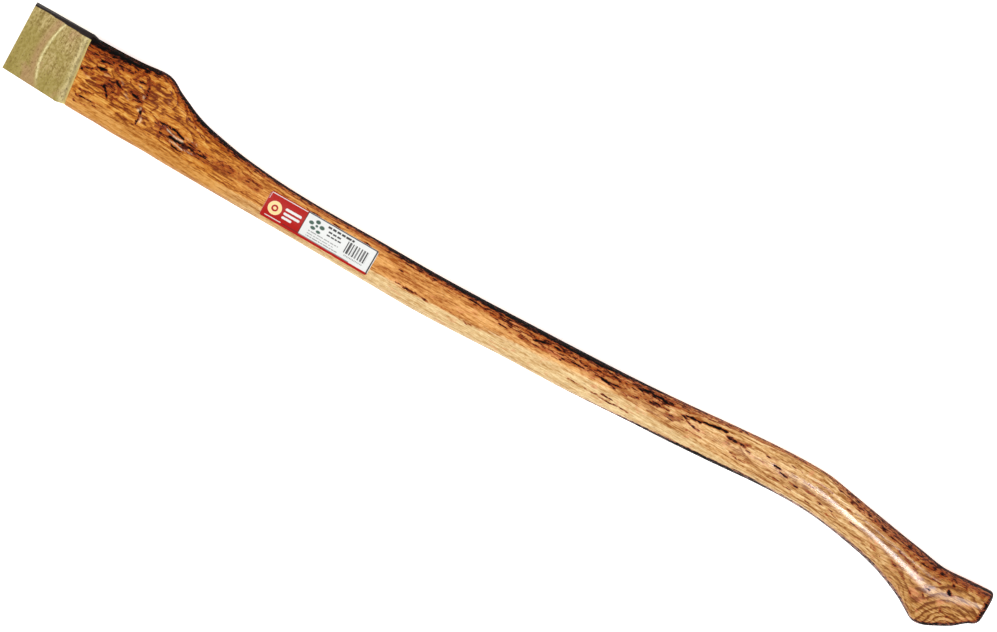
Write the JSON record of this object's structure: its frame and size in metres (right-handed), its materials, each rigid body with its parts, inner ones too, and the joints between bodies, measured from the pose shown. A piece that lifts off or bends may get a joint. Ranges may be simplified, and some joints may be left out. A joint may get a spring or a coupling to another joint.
{
  "type": "splitting maul handle",
  "caption": "Curved wooden replacement handle for a splitting maul, with a flat-sided tongue, a saw kerf, a started wooden wedge and a paper label on the shaft.",
  "frame": {"origin": "middle of the tongue's sawn end, on the handle's middle plane", "axes": "+X along the handle from the tongue to the knob; +Y across it to the back edge, the side with the shoulder; +Z through its thickness to the side with the label. The handle lies on its side"},
  "size_m": [0.975, 0.0885, 0.034],
  "materials": {
    "hickory": "gloss",
    "poplar": "matte",
    "label_paper": "satin"
  },
  "bodies": {
    "handle": {"handle": "hickory", "label": "label_paper"},
    "wedge": {"wedge": "poplar"}
  },
  "joints": [
    {"name": "wedge_slide", "type": "slide", "parent": "handle", "child": "wedge", "axis": [-0.9998, 0.0174, 0], "range_m": [0, 0.02]}
  ]
}
